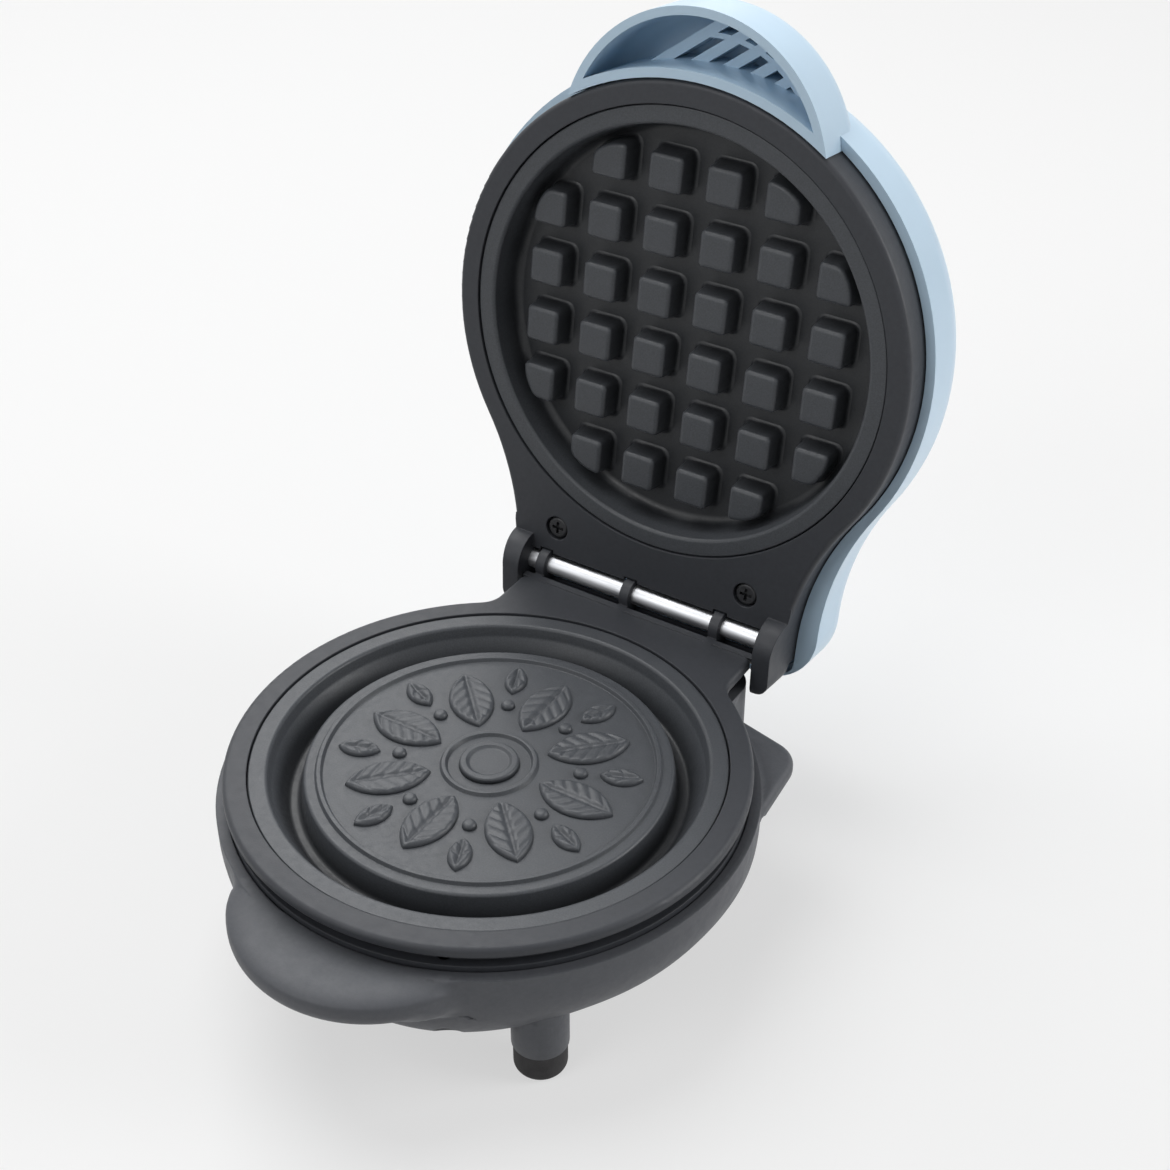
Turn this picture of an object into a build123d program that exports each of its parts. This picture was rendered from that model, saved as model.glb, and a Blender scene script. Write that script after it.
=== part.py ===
from build123d import *
import os
from math import atan2, cos, floor, radians, sin, sqrt

# An open mini waffle maker. Millimetres, +Z up, +Y towards the hinge, +X to the right.
# The origin lies on the table, straight below the middle of the lower cooking plate.
# The lid is drawn closed, and is then turned open about the hinge pin.

# Overall form
parting_height = 45.0
trim_radius = 60.0
base_overhang = 2.0
lid_overhang = 2.5
wall = 2.5
closing_gap = 0.5
open_angle = 97.9
slip = 0.3
touch = 0.05
overlap = 0.5

# Hinge
hinge_reach = 9.5
hinge_rise = 1.5
pin_radius = 2.5
pin_end_inset = 0.4
running_clearance = 0.06
press_clearance = 0.02
knuckle_wall = 1.5
knuckle_width = 2.6
knuckle_places = (-29.5, -4.5, 21.0)
neck_half_width = 33.2
neck_end_gap = 5.5
neck_corner = 2.0
saddle_gap = 2.0
saddle_wall = 1.8
ear_clearance = 0.6
ear_thickness = 4.7
ear_wall = 4.9
ear_skin = 1.2
ear_tip_radius = 4.5
ear_tip_reach = 9.0
ear_tip_drop = 2.0
ear_corner = 4.0
ear_root_reach = 11.5
ear_top_reach = 6.5
ear_tail = 4.0

# Cooking plates
rim_width = 5.7
lip_width = 4.3
lip_thickness = 2.0
lip_recess = 0.4
plate_wall = 1.2
well_depth = 9.0
well_edge = 0.5
plate_skin = 2.3
draft_run = 1.2
plate_pocket = 4.0
moat_width = 8.0
disc_recess = 2.3
grid_pitch = 15.0
post_width = 9.8
post_draft = 5.5
post_recess = 3.0
post_edge = 0.8
post_margin = 2.4

# Relief on the lower plate: a wheel of leaves round a plain button
relief_height = 1.2
relief_draft = 12.0
relief_leaves = 8
leaf_length = 17.0
leaf_width = 9.0
leaf_gap = 3.5
button_radius = 7.0
bead_radius = 2.2
bead_margin = 5.5

# Heating
element_margin = 8.0
element_tube = 3.25
element_opening = 34.0
element_leg = 6.4
element_sink = 0.6
bed_width = 10.4
bed_height = 2.6
groove_clearance = 0.15
terminal_radius = 1.4
terminal_length = 3.0
insulator_wall = 1.3
insulator_height = 1.4
shield_thickness = 0.8
shield_clearance = 0.95
shield_flange_width = 0.65
shield_turn = 1.0
stud_radius = 4.0
stud_inset = 8.8
stud_count = 3
stud_turn = 30.0
plate_screw_length = 6.0
pilot_floor = 2.0

# Trims
trim_thickness = 2.3
trim_body_depth = 4.6
trim_edge_round = 1.2
spigot_depth = 11.0
spigot_wall = 2.2
spigot_step = 2.2
shadow_gap = 2.8
lid_trim_depth = 9.5
lid_trim_wall = 1.8
neck_blend = 6.0

# Base shell
floor_height = 8.0
bowl_round = 18.0
base_handle_radius = 32.3
base_handle_reach = 15.0
base_handle_depth = 16.0
base_handle_top_round = 7.0
base_handle_low_round = 8.0
shoulder_radius = 8.0
shoulder_angle = 41.0
shoulder_reach = 3.0
shoulder_inset = 3.0
shoulder_drop = 3.4
shoulder_depth = 4.5
shoulder_round = 1.8
heel_setback = 3.0
heel_start = 20.0
heel_corner = 7.0
heel_round = 5.0

# Lid shell
lid_thickness = 28.5
lid_rim_depth = 8.0
lid_wall = 2.0
lid_ledge = 2.0
lid_round = 11.0
lid_neck_half_width = 44.0
lid_neck_reach = 13.5
lid_neck_corner = 14.0
lid_neck_blend = 70.0
lid_neck_gap = 3.5
neck_wall = 1.8
neck_wall_depth = 7.0
lid_handle_radius = 33.7
lid_handle_reach = 16.4
lid_handle_depth = 19.0
lid_handle_round = 7.0
stop_lug_width = 9.0
stop_lug_place = 16.0
stop_gap = 0.4

# Ribs in the hollow of the lid's handle
rib_count = 7
rib_pitch = 4.5
rib_width = 2.4
rib_height = 6.5
rib_lean = 143.0
rib_start = 23.3
rib_web_radius = 26.5
rib_web_wall = 1.2
rib_web_start = -4.0

# Feet, screws and small parts
foot_radius = 6.0
foot_tread_round = 2.0
foot_front_angle = 44.2
foot_front_inset = 10.4
foot_rear_x = 22.0
foot_rear_reach = 14.5
foot_stem_radius = 3.0
foot_stem_length = 5.0
foot_boss_radius = 6.4
screw_radius = 1.45
screw_head_radius = 2.8
screw_head_height = 2.0
screw_clearance = 0.25
screw_recess_width = 0.8
screw_recess_length = 3.2
screw_recess_depth = 1.1
counterbore_radius = 3.2
counterbore_wall = 1.4
base_screw_angles = (20, 160, 245, 295)
base_boss_radius = 3.1
base_boss_height = 15.5
base_screw_height = 10.0
base_screw_length = 14.5
lid_screw_x = 27.0
lid_screw_reach = 11.0
lid_screw_sink = 2.4
lid_screw_length = 11.6
lid_boss_radius = 4.0
lid_boss_depth = 6.0
lid_pilot_depth = 16.0
gland_height = 20.0
gland_bore = 3.6
gland_radius = 6.0
gland_flange = 8.0
gland_flange_thickness = 1.8
gland_edge_round = 1.0
gland_inner_step = 1.0
lens_place = (0.0, -34.0)
lens_radius = 3.5
lens_flange = 5.0
lens_flange_thickness = 1.5
lens_stand = 0.8
lens_round = 0.7
lamp_radius = 1.9
lamp_length = 9.0
wire_radius = 1.1

# Thermostat, fuse, terminal block and wires
thermostat_radius = 8.0
thermostat_height = 7.0
thermostat_tab_place = 3.0
thermostat_tab_width = 5.0
thermostat_tab_thickness = 1.0
thermostat_tab_end = 24.8
tab_slot_margin = 2.0
block_size = (26.0, 10.0, 9.0)
block_setback = 16.5
fuse_radius = 2.0
fuse_length = 11.0
fuse_setback = 5.5
lead_rise = 5.0
lead_bend = 4.0
link_rise = 8.5
link_run = 6.0
link_bend = 2.0
lid_lead_start = 3.0
lid_lead_bend_reach = 9.5
lid_lead_end_reach = 1.5
lid_lead_fall = 8.0
lid_lead_bend = 6.0

# Worked-out places
base_radius = trim_radius + base_overhang
lid_radius = trim_radius + lid_overhang
hinge_y = trim_radius + hinge_reach
hinge_z = parting_height + hinge_rise
lid_face = parting_height + closing_gap
rim_height = parting_height - trim_thickness - shadow_gap
trim_under = parting_height - trim_thickness
spigot_low = parting_height - spigot_depth
spigot_radius = base_radius - wall - slip
spigot_neck_radius = spigot_radius - spigot_step
step_height = rim_height - overlap
knuckle_radius = pin_radius + knuckle_wall
neck_end = hinge_y - neck_end_gap
ear_inner = neck_half_width + ear_clearance
ear_outer = ear_inner + ear_thickness
ear_root = hinge_y - ear_root_reach
lid_neck_end = hinge_y + lid_neck_reach
heel_rear = hinge_y - heel_setback
lip_radius = trim_radius - rim_width
well_radius = lip_radius - lip_width
disc_radius = well_radius - moat_width
plate_radius = well_radius + plate_wall
plate_back = -well_depth - plate_skin
pocket_ceiling = -disc_recess - plate_pocket
element_radius = disc_radius - element_margin
element_height = plate_back - bed_height + element_sink
pin_low = element_height - element_leg - terminal_length
bed_inner = element_radius - bed_width / 2
bed_outer = element_radius + bed_width / 2
stud_place = bed_inner - stud_inset
shield_floor = -(element_height - element_tube) + shield_clearance + shield_thickness
shield_radius = plate_radius + shield_clearance
post_limit_radius = well_radius - post_margin
bead_place = disc_radius - bead_margin
leaf_place = bead_place - leaf_gap - leaf_length / 2
base_handle_centre = trim_radius + base_handle_reach - base_handle_radius
lid_handle_centre = trim_radius + lid_handle_reach - lid_handle_radius
base_screw_place = spigot_radius - base_boss_radius
base_boss_top = floor_height + base_boss_height
base_screw_seat = floor_height + base_screw_height
lid_screw_y = hinge_y - lid_screw_reach
lid_top = lid_face + lid_thickness
block_place = heel_rear - block_setback
HINGE = Axis((0, hinge_y, hinge_z), (1, 0, 0))
ON_FLOOR = (Align.CENTER, Align.CENTER, Align.MIN)


def opened(shape):
    """Turn a lid piece from closed to its open stop."""
    return shape.rotate(HINGE, -open_angle)


def on_base(shape):
    """Set a piece drawn from the plate's face onto the base."""
    return Pos(0, 0, parting_height) * shape


def in_lid(shape):
    """Set a piece drawn from the plate's face into the lid, face down, and open it."""
    return opened(Pos(0, 0, lid_face) * mirror(shape, Plane.XY))


def disc(radius, low, high, x=0.0, y=0.0):
    """A round solid between two heights."""
    return Pos(x, y, low) * Cylinder(radius, high - low, align=ON_FLOOR)


def ring(inner, outer, low, high, x=0.0, y=0.0):
    return disc(outer, low, high, x, y) - disc(inner, low - 1, high + 1, x, y)


def block(x0, x1, y0, y1, z0, z1):
    return Pos((x0 + x1) / 2, (y0 + y1) / 2, (z0 + z1) / 2) * Box(x1 - x0, y1 - y0, z1 - z0)


def rod(x0, x1, radius, y=hinge_y, z=hinge_z):
    """A round solid along X, on the hinge axis unless told otherwise."""
    return Pos((x0 + x1) / 2, y, z) * Rot(0, 90, 0) * Cylinder(radius, x1 - x0)


def around(angle, radius):
    return radius * cos(radians(angle)), radius * sin(radians(angle))


def revolved(points):
    """Turn a half section of (radius, height) points about the plate's axis."""
    outline = Polyline(*[(r, 0, z) for r, z in points], close=True)
    return revolve(make_face(outline), Axis.Z, 360)


def circle_face(radius, x=0.0, y=0.0):
    return Pos(x, y) * Circle(radius)


def keyhole(radius, half_width, rear, blend, corner):
    """A round outline with a neck towards the hinge. Concave arcs join the two, no larger than the neck allows."""
    side_end = rear - corner
    room = (side_end - overlap) ** 2 - radius**2 + half_width**2
    blend = min(blend, room / (2 * (radius - half_width)))
    reach = radius + blend
    centre_x = half_width + blend
    centre_y = sqrt(reach**2 - centre_x**2)
    touch_x = centre_x * radius / reach
    touch_y = centre_y * radius / reach
    half_turn = atan2(centre_y, centre_x) / 2
    middle_x = centre_x - blend * cos(half_turn)
    middle_y = centre_y - blend * sin(half_turn)
    bend = corner * (1 - sqrt(0.5))
    corner_x = half_width - corner
    edges = [
        ThreePointArc((-touch_x, touch_y), (0, -radius), (touch_x, touch_y)),
        ThreePointArc((touch_x, touch_y), (middle_x, middle_y), (half_width, centre_y)),
        Line((half_width, centre_y), (half_width, side_end)),
        ThreePointArc((half_width, side_end), (half_width - bend, rear - bend), (corner_x, rear)),
        Line((corner_x, rear), (-corner_x, rear)),
        ThreePointArc((-corner_x, rear), (-half_width + bend, rear - bend), (-half_width, side_end)),
        Line((-half_width, side_end), (-half_width, centre_y)),
        ThreePointArc((-half_width, centre_y), (-middle_x, middle_y), (-touch_x, touch_y)),
    ]
    return make_face(Wire(edges))


def slab(face, low, high):
    return Pos(0, 0, low) * extrude(face, high - low)


def round_end(shape, radius, top):
    """Round the edges of the lowest or highest flat face."""
    faces = shape.faces().sort_by(Axis.Z)
    face = faces[-1] if top else faces[0]
    return fillet(face.edges(), radius)


def rounded_slab(face, low, high, radius, top):
    return round_end(slab(face, low, high), radius, top)


def screw(x, y, seat, tip):
    """A pan head below its seat, with a cross recess, and a plain shank up to its tip."""
    low = seat - screw_head_height
    head = disc(screw_head_radius, low, seat, x, y)
    head = fillet(head.edges().sort_by(Axis.Z)[0], screw_head_height / 3)
    half = screw_recess_width / 2
    reach = screw_recess_length / 2
    deep = low + screw_recess_depth
    head -= block(x - half, x + half, y - reach, y + reach, low - 1, deep)
    head -= block(x - reach, x + reach, y - half, y + half, low - 1, deep)
    return head + disc(screw_radius, seat, tip, x, y)


def element_ends():
    half = element_opening / 2
    return [around(90 + side * half, element_radius) for side in (-1, 1)]


def stud_points():
    return [around(stud_turn + 360 / stud_count * i, stud_place) for i in range(stud_count)]


def base_screw_points():
    return [around(angle, base_screw_place) for angle in base_screw_angles]


def lid_screw_points():
    return [(side * lid_screw_x, lid_screw_y) for side in (-1, 1)]


def foot_points():
    front_x, front_y = around(-foot_front_angle, base_radius - foot_front_inset)
    rear_y = hinge_y - foot_rear_reach
    return {
        "foot_front_left": (-front_x, front_y),
        "foot_front_right": (front_x, front_y),
        "foot_rear_left": (-foot_rear_x, rear_y),
        "foot_rear_right": (foot_rear_x, rear_y),
    }


def plate_blank():
    """The casting that both cooking plates share, with its face at height 0 and its back below."""
    under_lip = -lip_recess - lip_thickness
    body = revolved([
        (0, -well_depth),
        (well_radius - draft_run, -well_depth),
        (well_radius, -lip_recess - well_edge),
        (well_radius + well_edge, -lip_recess),
        (lip_radius, -lip_recess),
        (lip_radius, under_lip),
        (plate_radius, under_lip),
        (plate_radius, plate_back),
        (0, plate_back),
    ])
    bed = ring(bed_inner, bed_outer, plate_back - bed_height, plate_back)
    groove = Pos(0, 0, element_height) * Torus(element_radius, element_tube + groove_clearance)
    return body + bed - groove


def with_studs(plate, ceiling):
    """Bosses that reach from the plate's back to the heat shield, with their pilot holes."""
    foot_end = -shield_floor + shield_thickness
    for x, y in stud_points():
        plate += disc(stud_radius, foot_end, ceiling, x, y)
        plate -= disc(screw_radius + running_clearance, foot_end - 1, ceiling - pilot_floor, x, y)
    return plate


def leaf():
    """One pointed leaf: two arcs that meet at its tips, raised with a drafted edge."""
    near = leaf_place - leaf_length / 2
    far = leaf_place + leaf_length / 2
    side = leaf_width / 2
    outline = Wire([
        ThreePointArc((near, 0), (leaf_place, -side), (far, 0)),
        ThreePointArc((far, 0), (leaf_place, side), (near, 0)),
    ])
    return extrude(make_face(outline), relief_height, taper=relief_draft)


def relief():
    """Generic raised ornament: leaves in a wheel, a button and a ring of beads."""
    step = 360 / relief_leaves
    inset = relief_height * sin(radians(2 * relief_draft))
    pieces = [Cone(button_radius, button_radius - inset, relief_height, align=ON_FLOOR)]
    for i in range(relief_leaves):
        x, y = around(step * (i + 0.5), bead_place)
        pieces.append(Rot(0, 0, step * i) * leaf())
        pieces.append(Pos(x, y, 0) * Cone(bead_radius, bead_radius - inset, relief_height, align=ON_FLOOR))
    return pieces


def make_lower_plate():
    low = -well_depth - overlap
    raised = Pos(0, 0, low) * Cone(disc_radius + draft_run, disc_radius, -disc_recess - low, align=ON_FLOOR)
    plate = plate_blank() + raised
    plate -= disc(bed_inner, plate_back - 1, pocket_ceiling)
    plate = with_studs(plate, pocket_ceiling + 1)
    for piece in relief():
        plate += Pos(0, 0, -disc_recess) * piece
    return plate


def post(x, y):
    """One drafted waffle post with bevelled top edges, from the well's floor to its recessed top."""
    height = well_depth - post_recess - post_edge
    top_width = post_width - 2 * height * sin(radians(post_draft))
    shaft = extrude(Rectangle(post_width, post_width), height, taper=post_draft)
    cap = Pos(0, 0, height) * extrude(Rectangle(top_width, top_width), post_edge, taper=45)
    return Pos(x, y, -well_depth) * (shaft + cap)


def make_upper_plate():
    limit = disc(post_limit_radius, -well_depth - overlap, 0)
    plate = plate_blank()
    per_side = floor(post_limit_radius / grid_pitch + 0.5)
    places = [grid_pitch * (i + 0.5) for i in range(-per_side, per_side)]
    for x in places:
        for y in places:
            piece = post(x, y)
            near = sqrt(max(0, abs(x) - post_width / 2) ** 2 + max(0, abs(y) - post_width / 2) ** 2)
            far = sqrt((abs(x) + post_width / 2) ** 2 + (abs(y) + post_width / 2) ** 2)
            if near > post_limit_radius - post_margin:
                continue
            if far > post_limit_radius:
                piece = piece & limit
            plate += piece
    return with_studs(plate, plate_back + 1)


def make_element():
    """A sheathed heating ring with a gap, and its two ends turned away from the plate."""
    section = Pos(element_radius, 0, 0) * Rot(90, 0, 0) * Circle(element_tube)
    tube = Rot(0, 0, 90 + element_opening / 2) * revolve(section, Axis.Z, 360 - element_opening)
    tube = Pos(0, 0, element_height) * tube
    for x, y in element_ends():
        tube += Pos(x, y, element_height) * Sphere(element_tube)
        tube += disc(element_tube, element_height - element_leg, element_height, x, y)
    return tube


def make_insulators():
    seat = -shield_floor
    bore = element_tube + touch
    return [ring(bore, bore + insulator_wall, seat - insulator_height, seat, x, y) for x, y in element_ends()]


def make_terminals():
    return [disc(terminal_radius, pin_low, pin_low + terminal_length, x, y) for x, y in element_ends()]


def make_shield(slot):
    """The pressed dish under a plate: its rim bears on the trim and its floor takes the screws."""
    top = -trim_body_depth - touch
    under_rim = top - shield_thickness
    inside = -shield_floor + shield_thickness
    inner = shield_radius - shield_thickness
    dish = revolved([
        (shield_radius + shield_flange_width, top),
        (shield_radius + shield_flange_width, under_rim),
        (shield_radius, under_rim),
        (shield_radius, -shield_floor + shield_turn),
        (shield_radius - shield_turn, -shield_floor),
        (0, -shield_floor),
        (0, inside),
        (inner - shield_turn, inside),
        (inner, inside + shield_turn),
        (inner, top),
    ])
    low = -shield_floor - 1
    high = inside + 1
    for x, y in element_ends():
        dish -= disc(element_tube + slip, low, high, x, y)
    for x, y in stud_points():
        dish -= disc(screw_radius + screw_clearance, low, high, x, y)
    if slot:
        half = thermostat_tab_place + tab_slot_margin
        dish -= block(-half, half, -half, half, low, high)
    return dish


def plate_screws():
    seat = -shield_floor
    return [screw(x, y, seat, seat + plate_screw_length) for x, y in stud_points()]


def shoulder_outline():
    corner_x, corner_y = around(shoulder_angle, trim_radius + shoulder_reach)
    circles = [circle_face(base_radius - shoulder_inset)]
    circles += [circle_face(shoulder_radius, side * corner_x, corner_y) for side in (-1, 1)]
    return make_hull([c.edges()[0] for c in circles])


def heel_outline(inset):
    half = neck_half_width - inset
    rear = heel_rear - inset
    box = Pos(0, (heel_start + rear) / 2) * Rectangle(2 * half, rear - heel_start)
    corners = box.vertices().sort_by(Axis.Y)[-2:]
    return fillet(corners, heel_corner - inset)


def base_bowl(inset):
    high = rim_height + (1 if inset else 0)
    return rounded_slab(circle_face(base_radius - inset), floor_height + inset, high, bowl_round - inset, False)


def base_handle(inset):
    low = rim_height - base_handle_depth + inset
    outline = circle_face(base_handle_radius - inset, 0, -base_handle_centre)
    grip = rounded_slab(outline, low, rim_height - inset, base_handle_low_round - inset, False)
    return round_end(grip, base_handle_top_round - inset, True)


def base_shoulders():
    high = rim_height - shoulder_drop
    flange = rounded_slab(shoulder_outline(), high - shoulder_depth, high, shoulder_round, False)
    return round_end(flange, shoulder_round, True)


def base_heel(inset):
    high = rim_height + (1 if inset else 0)
    return rounded_slab(heel_outline(inset), floor_height + inset, high, heel_round - inset, False)


def make_base_shell():
    """The bowl with its front handle, rear shoulders and heel, as one moulding."""
    shell = base_bowl(0) + base_handle(0) + base_shoulders() + base_heel(0)
    for room in (base_bowl, base_heel, base_handle):
        hollow = room(wall)
        for x, y in base_screw_points():
            hollow -= disc(counterbore_radius + counterbore_wall, 0, base_boss_top, x, y)
        shell -= hollow
    for x, y in foot_points().values():
        shell += disc(foot_boss_radius, floor_height, floor_height + foot_stem_length + wall, x, y)
        shell -= disc(foot_stem_radius + touch, floor_height - 1, floor_height + foot_stem_length + slip, x, y)
    for x, y in base_screw_points():
        shell -= disc(counterbore_radius, 0, base_screw_seat, x, y)
        shell -= disc(screw_radius + screw_clearance, 0, base_boss_top + 1, x, y)
    return shell - Pos(0, heel_rear - wall, gland_height) * Rot(90, 0, 0) * Cylinder(gland_radius, 4 * wall)


def saddle():
    """A quarter trough under the pin that carries the knuckles and closes the gap behind the neck."""
    inner = pin_radius + saddle_gap
    outer = inner + saddle_wall
    trough = rod(-neck_half_width, neck_half_width, outer) - rod(-hinge_y, hinge_y, inner)
    quarter = block(-hinge_y, hinge_y, hinge_y - outer, hinge_y + 1, hinge_z - outer, parting_height)
    return trough & quarter


def make_base_trim():
    """The upper ring of the base: a rim round the plate, a neck, and knuckles for the pin."""
    outline = keyhole(trim_radius, neck_half_width, neck_end, neck_blend, neck_corner)
    trim = rounded_slab(outline, trim_under, parting_height, trim_edge_round, True)
    trim += disc(spigot_radius, parting_height - trim_body_depth, trim_under)
    trim += ring(spigot_radius - spigot_step - spigot_wall, spigot_radius, spigot_low, trim_under)
    neck_spigot = slab(heel_outline(wall + slip), spigot_low, trim_under)
    neck_room = slab(heel_outline(wall + slip + spigot_wall), spigot_low - 1, trim_under)
    trim += neck_spigot - neck_room - disc(spigot_neck_radius - spigot_wall / 2, spigot_low - 1, trim_under + 1)
    for x, y in base_screw_points():
        trim += disc(base_boss_radius, base_boss_top, trim_under, x, y)
        trim -= disc(screw_radius + running_clearance, base_boss_top - 1, trim_under - wall, x, y)
    shadow = ring(spigot_neck_radius, base_radius + 1, step_height, trim_under)
    trim -= shadow - block(-neck_half_width, neck_half_width, 0, hinge_y, step_height - 1, parting_height)
    trim -= disc(lip_radius + slip, parting_height - lip_recess - lip_thickness, parting_height + 1)
    trim -= disc(plate_radius + slip, spigot_low - 1, parting_height)
    trim += saddle()
    for x in knuckle_places:
        left = x - knuckle_width / 2
        right = x + knuckle_width / 2
        trim += rod(left, right, knuckle_radius)
        trim += block(left, right, neck_end - wall, hinge_y, hinge_z - pin_radius - saddle_gap - overlap, parting_height)
        trim -= rod(left - 1, right + 1, pin_radius + press_clearance)
    return trim


def make_pin():
    return rod(-ear_outer + pin_end_inset, ear_outer - ear_skin - pin_end_inset + slip / 3, pin_radius)


def foot(x, y):
    """A rubber foot with a rounded tread and a stem pushed into the shell."""
    pad = disc(foot_radius, 0, floor_height, x, y)
    pad = fillet(pad.edges().sort_by(Axis.Z)[0], foot_tread_round)
    return pad + disc(foot_stem_radius, floor_height, floor_height + foot_stem_length, x, y)


def base_screws():
    return [screw(x, y, base_screw_seat, base_screw_seat + base_screw_length) for x, y in base_screw_points()]


def make_gland():
    """The bushing that leads a mains cord through the heel's rear wall."""
    inner = heel_rear - wall
    thick = gland_flange_thickness
    turned = Rot(90, 0, 0)
    body = Pos(0, (inner + heel_rear) / 2, 0) * turned * Cylinder(gland_radius - 2 * touch, wall)
    outer = Pos(0, heel_rear + thick / 2, 0) * turned * Cylinder(gland_flange, thick)
    outer = fillet(outer.edges().sort_by(Axis.Y)[-1], gland_edge_round)
    inside = Pos(0, inner - thick / 2, 0) * turned * Cylinder(gland_flange - gland_inner_step, thick)
    bore = Pos(0, heel_rear, 0) * turned * Cylinder(gland_bore, 8 * wall)
    return Pos(0, 0, gland_height) * (body + outer + inside - bore)


def lid_trim_outline(grow):
    rear = lid_neck_end - lid_wall
    return keyhole(trim_radius + grow, ear_outer + grow, rear, lid_neck_blend - grow, ear_corner)


def ear_profile():
    """The side view of one ear: a lobe round the pin, drawn out to a rounded tip."""
    lobe = Pos(hinge_y, hinge_z) * Circle(pin_radius + ear_wall)
    tip = Pos(hinge_y + ear_tip_reach, hinge_z - ear_tip_drop) * Circle(ear_tip_radius)
    drop = make_hull([lobe.edges()[0], tip.edges()[0]])
    top_end = hinge_y + ear_top_reach
    middle = Pos((ear_root + top_end) / 2, lid_face + lid_trim_depth / 2)
    return drop + middle * Rectangle(top_end - ear_root, lid_trim_depth)


def make_ears():
    high = lid_face + 2 * lid_thickness
    outline = slab(lid_trim_outline(0), floor_height, high)
    plane = Plane(origin=(ear_inner, 0, 0), x_dir=(0, 1, 0), z_dir=(1, 0, 0))
    ear = extrude(plane * ear_profile(), ear_thickness + 1) & outline
    return ear + mirror(ear, Plane.YZ)


def make_lid_trim():
    """The lower ring of the lid, drawn closed: rim, side wall, neck, and ears for the pin."""
    face = lid_face
    ceiling = face + trim_thickness
    high = face + lid_trim_depth
    above = face + lid_thickness
    outline = lid_trim_outline(0)
    trim = rounded_slab(outline, face, ceiling, trim_edge_round, False)
    trim += slab(outline, ceiling, high) - slab(lid_trim_outline(-lid_trim_wall), ceiling - 1, high + 1)
    trim += disc(trim_radius - lid_trim_wall / 2, ceiling - overlap, face + trim_body_depth)
    edge = hinge_y - lid_neck_gap
    far = 2 * lid_neck_end
    trim -= block(-ear_inner, ear_inner, edge, far, face - 1, above)
    sides = block(-far, far, ear_root + ear_tail, far, face - 1, above)
    trim -= sides - block(-ear_inner, ear_inner, 0, far, face - 2, above + 1)
    trim += block(-ear_inner, ear_inner, edge - neck_wall, edge, face + trim_thickness / 2, face + neck_wall_depth)
    trim += make_ears()
    for x in knuckle_places:
        half = knuckle_width / 2 + 2 * slip
        trim -= rod(x - half, x + half, knuckle_radius + overlap)
    for x, y in lid_screw_points():
        trim += disc(lid_boss_radius, ceiling, face + lid_boss_depth, x, y)
        trim -= disc(counterbore_radius, face - 1, face + lid_screw_sink, x, y)
        trim -= disc(screw_radius + screw_clearance, face, face + lid_boss_depth + 1, x, y)
    trim -= disc(lip_radius + slip, face - 1, face + lip_recess + lip_thickness)
    trim -= disc(plate_radius + slip, face, above)
    return trim - rod(-ear_outer - ear_skin, ear_outer - ear_skin, pin_radius + running_clearance)


def lid_body(inset, low, high):
    outline = keyhole(lid_radius - inset, lid_neck_half_width - inset, lid_neck_end - inset,
                      lid_neck_blend + inset, lid_neck_corner - inset)
    return rounded_slab(outline, low, high, lid_round - inset, True)


def lid_handle(inset, low):
    outline = circle_face(lid_handle_radius - inset, 0, -lid_handle_centre)
    high = lid_face + lid_handle_depth - inset
    return rounded_slab(outline, low, high, lid_handle_round - inset, True)


def handle_ribs():
    """Slanted ribs and a curved web on the ceiling of the handle's hollow, on its right-hand half."""
    high = lid_face + lid_handle_depth - lid_wall / 2
    low = lid_face + lid_handle_depth - lid_wall - rib_height
    far = 2 * lid_handle_radius
    web = ring(rib_web_radius - rib_web_wall, rib_web_radius, low, high)
    fins = web & block(rib_web_start, far, -far, far, low, high)
    for i in range(rib_count):
        place = rib_start - rib_pitch * i
        fins += Rot(0, 0, rib_lean) * block(-far, far, place - rib_width / 2, place + rib_width / 2, low, high)
    room = lid_handle(lid_wall - overlap, low) - disc(lid_radius - overlap, low - 1, high + 1)
    return (Pos(0, -lid_handle_centre, 0) * fins) & room


def stop_lug(x):
    """A lug on the skirt that meets the heel's rear wall when the lid is fully open."""
    inner = lid_neck_end - lid_wall - hinge_y
    target = heel_rear - hinge_y + stop_gap
    turn = radians(open_angle)
    low = hinge_z + (target - inner * cos(turn)) / sin(turn)
    half = stop_lug_width / 2
    return block(x - half, x + half, lid_neck_end - lid_wall, lid_neck_end, low, lid_face + lid_rim_depth + 1)


def make_lid_shell():
    """The pale outer cover, drawn closed: a domed top, an open handle and a rear skirt."""
    face = lid_face
    rim = face + lid_rim_depth
    hollow = lid_handle(lid_wall, face - 1) - disc(lid_radius, face - 2, lid_top)
    shell = lid_body(0, rim, lid_top) + lid_handle(0, face)
    shell -= disc(trim_radius + slip, face - 1, rim + lid_ledge / 2)
    shell -= lid_body(lid_wall, rim + lid_ledge, lid_top - lid_wall)
    shell -= slab(lid_trim_outline(slip), rim - 1, rim + lid_ledge + 2 * touch)
    shell -= hollow
    shell += handle_ribs()
    for x, y in lid_screw_points():
        shell += disc(lid_boss_radius, face + lid_boss_depth + touch, lid_top - lid_wall / 2, x, y)
        shell -= disc(screw_radius + running_clearance, face + lid_boss_depth - 1, face + lid_pilot_depth, x, y)
    for side in (-1, 1):
        shell += stop_lug(side * stop_lug_place)
    return shell - disc(lens_radius + 2 * touch, lid_top - 2 * lid_wall, lid_top + 1, *lens_place)


def lid_screws():
    seat = lid_face + lid_screw_sink
    return [screw(x, y, seat, seat + lid_screw_length) for x, y in lid_screw_points()]


def make_lens():
    under = lid_top - lid_wall
    flange = disc(lens_flange, under - lens_flange_thickness, under, *lens_place)
    body = disc(lens_radius, under, lid_top + lens_stand, *lens_place)
    return flange + fillet(body.edges().sort_by(Axis.Z)[-1], lens_round)


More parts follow.
